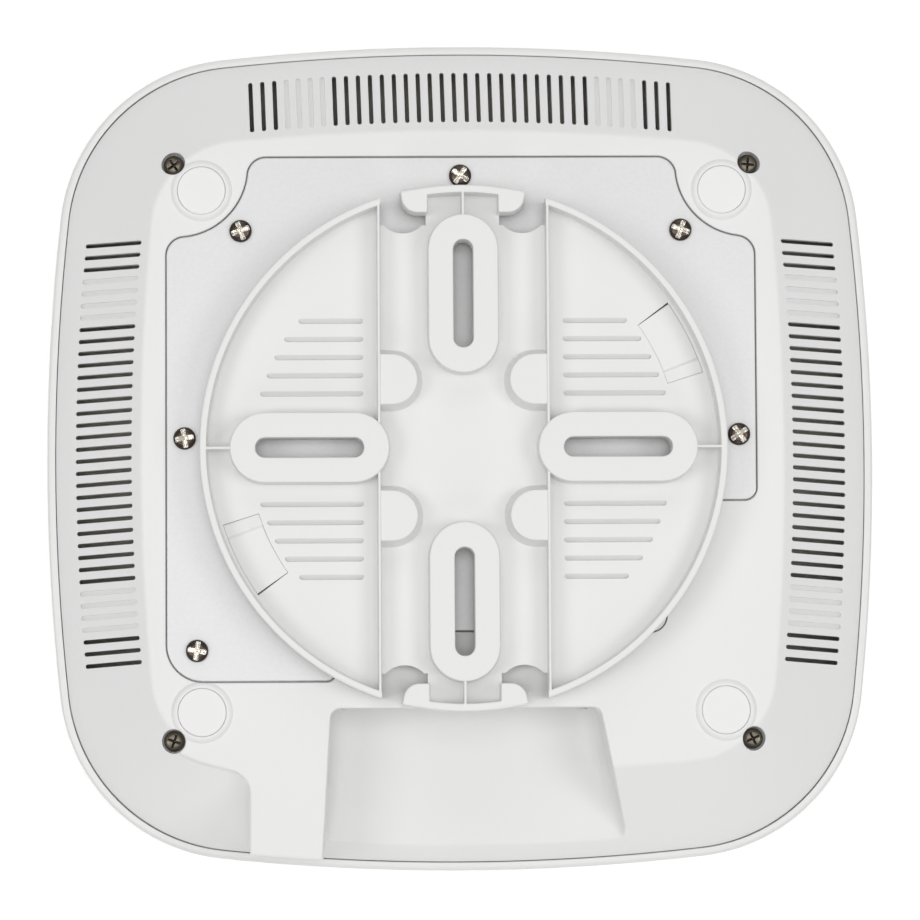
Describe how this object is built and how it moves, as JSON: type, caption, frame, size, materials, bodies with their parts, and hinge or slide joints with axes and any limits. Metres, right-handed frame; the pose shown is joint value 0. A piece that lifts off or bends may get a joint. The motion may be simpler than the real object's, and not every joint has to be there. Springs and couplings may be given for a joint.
{
  "type": "ceiling access point",
  "caption": "Square-round ceiling access point with a vented sloped back, a cable recess and a round twist-on ceiling bracket with slotted bosses.",
  "frame": {"origin": "centre of the bracket's flat ceiling face", "axes": "+Z towards the ceiling, out of the back; -Y is the side with the cable recess; +X completes the right-handed frame"},
  "size_m": [0.207, 0.207, 0.047],
  "materials": {
    "bracket_plastic": "fine matte, white",
    "housing_plastic": "fine matte, white",
    "cover_plastic": "satin white",
    "painted_plate": "satin silver-grey paint with a fine fleck",
    "screw_steel": "dark nickel-plated, bright recess",
    "foot_rubber": "soft matte",
    "circuit_board": "solder mask",
    "thermal_pad": "soft matte",
    "aluminium_block": "as milled",
    "tinned_steel": "tin plated",
    "black_plastic": "moulded",
    "clear_plastic": "clear"
  },
  "bodies": {
    "bracket": {"mounting_bracket": "bracket_plastic"},
    "unit": {"rear_housing": "housing_plastic", "metal_plate": "painted_plate", "front_cover": "cover_plastic", "plate_screw_1": "screw_steel", "plate_screw_2": "screw_steel", "plate_screw_3": "screw_steel", "plate_screw_4": "screw_steel", "plate_screw_5": "screw_steel", "plate_screw_6": "screw_steel", "corner_screw_1": "screw_steel", "corner_screw_2": "screw_steel", "corner_screw_3": "screw_steel", "corner_screw_4": "screw_steel", "rubber_foot_1": "foot_rubber", "rubber_foot_2": "foot_rubber", "rubber_foot_3": "foot_rubber", "rubber_foot_4": "foot_rubber", "main_board": "circuit_board", "board_screw_1": "screw_steel", "board_screw_2": "screw_steel", "board_screw_3": "screw_steel", "board_screw_4": "screw_steel", "processor_shield": "tinned_steel", "radio_shield_left": "tinned_steel", "radio_shield_right": "tinned_steel", "lower_thermal_pad": "thermal_pad", "heatsink_block": "aluminium_block", "upper_thermal_pad": "thermal_pad", "ethernet_jack_left": "tinned_steel", "ethernet_jack_right": "tinned_steel", "dc_jack": "black_plastic", "reset_switch": "black_plastic", "power_transformer": "black_plastic", "power_inductor": "black_plastic", "capacitor_1": "tinned_steel", "capacitor_2": "tinned_steel", "capacitor_3": "tinned_steel", "antenna_top_left": "tinned_steel", "antenna_top_right": "tinned_steel", "antenna_left": "tinned_steel", "antenna_right": "tinned_steel", "status_led": "clear_plastic", "light_pipe": "clear_plastic"},
    "finger_right": {"latch_finger_right": "bracket_plastic"},
    "finger_left": {"latch_finger_left": "bracket_plastic"},
    "reset_plunger": {"reset_button": "black_plastic"}
  },
  "joints": [
    {"name": "bracket_twist", "type": "hinge", "parent": "bracket", "child": "unit", "pos_m": [0, 0, 0], "axis": [0, 0, 1], "range_deg": [0, 20]},
    {"name": "latch_flex_right", "type": "hinge", "parent": "bracket", "child": "finger_right", "pos_m": [0.05436, 0.01714, -0.0068], "axis": [0.9537, 0.3007, 0], "range_deg": [0, 4.5], "stiffness_Nm_per_rad": 0.5},
    {"name": "latch_flex_left", "type": "hinge", "parent": "bracket", "child": "finger_left", "pos_m": [-0.05436, -0.01714, -0.0068], "axis": [-0.9537, -0.3007, 0], "range_deg": [0, 4.5], "stiffness_Nm_per_rad": 0.5},
    {"name": "reset_press", "type": "slide", "parent": "unit", "child": "reset_plunger", "axis": [0, 1, 0], "range_m": [0, 0.0004], "stiffness_N_per_m": 1500}
  ]
}
